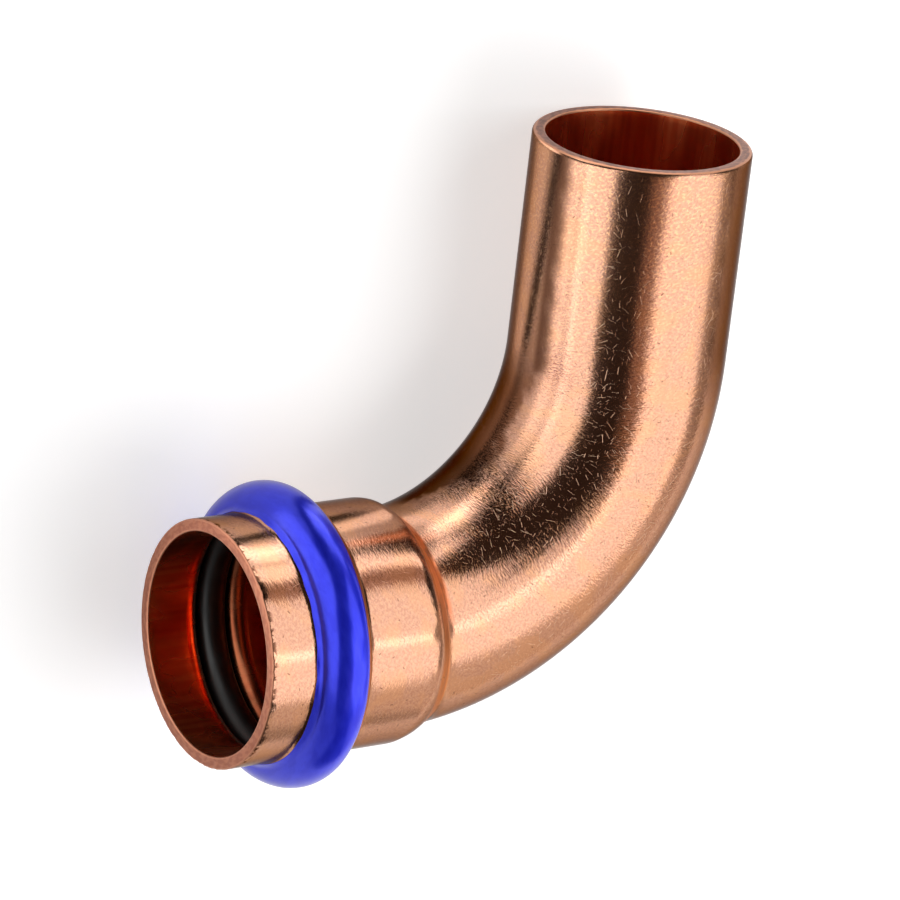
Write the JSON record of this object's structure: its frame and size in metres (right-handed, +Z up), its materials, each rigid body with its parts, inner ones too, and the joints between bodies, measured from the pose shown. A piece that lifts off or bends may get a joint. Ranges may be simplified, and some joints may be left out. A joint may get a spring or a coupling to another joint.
{
  "type": "press fit elbow fitting",
  "caption": "90 degree copper press elbow: a beaded press socket with a rubber sealing ring at one port, a plain tube leg at the other.",
  "frame": {"origin": "centre of the press socket's mouth, on the plane of its cut face", "axes": "+Z up, square to the table that the loose fitting lies on; +X points from the mouth into the socket as seen from above; the plain leg runs towards +Y"},
  "size_m": [0.0578, 0.0636, 0.0303],
  "materials": {
    "copper": "satin, drawn and tumbled copper with fine hairline scratches",
    "rubber": "moulded, lightly greased",
    "blue_coat": "glossy coat"
  },
  "bodies": {
    "root": {"elbow_body": "copper", "o_ring": "rubber", "marking_coat": "blue_coat"}
  },
  "joints": []
}
